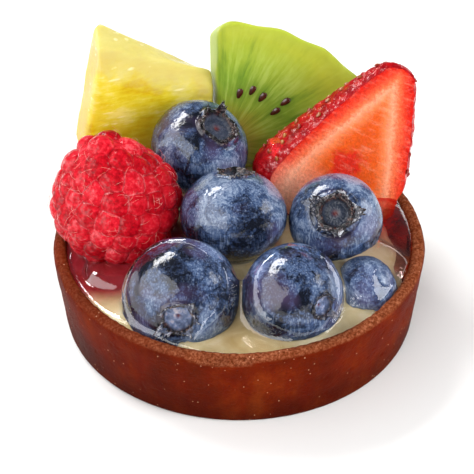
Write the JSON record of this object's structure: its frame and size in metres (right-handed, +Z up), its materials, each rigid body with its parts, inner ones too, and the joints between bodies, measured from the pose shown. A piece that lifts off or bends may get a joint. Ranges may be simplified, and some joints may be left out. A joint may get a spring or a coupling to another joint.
{
  "type": "fruit tart",
  "caption": "Individual round tart: straight-sided chocolate shortcrust shell with pastry cream, glazed blueberries, raspberry, strawberry half, kiwi slice and pineapple wedge.",
  "frame": {"origin": "centre of the shell's flat base, which stands on the table", "axes": "+Z up along the shell's axis of revolution; -Y is the front, where the round berries lie; the tall slices stand towards +Y; +X to the right seen from the front"},
  "size_m": [0.065, 0.065, 0.0418],
  "materials": {
    "crust": null,
    "cream": null,
    "blueberry": null,
    "raspberry": null,
    "strawberry": null,
    "kiwi": null,
    "pineapple": null
  },
  "bodies": {
    "root": {"shell": "crust", "cream": "cream", "blueberry_front_left": "blueberry", "blueberry_front_middle": "blueberry", "blueberry_right": "blueberry", "blueberry_centre": "blueberry", "blueberry_back": "blueberry", "blueberry_small": "blueberry", "raspberry": "raspberry", "strawberry_half": "strawberry", "kiwi_slice": "kiwi", "pineapple_wedge": "pineapple"}
  },
  "joints": []
}
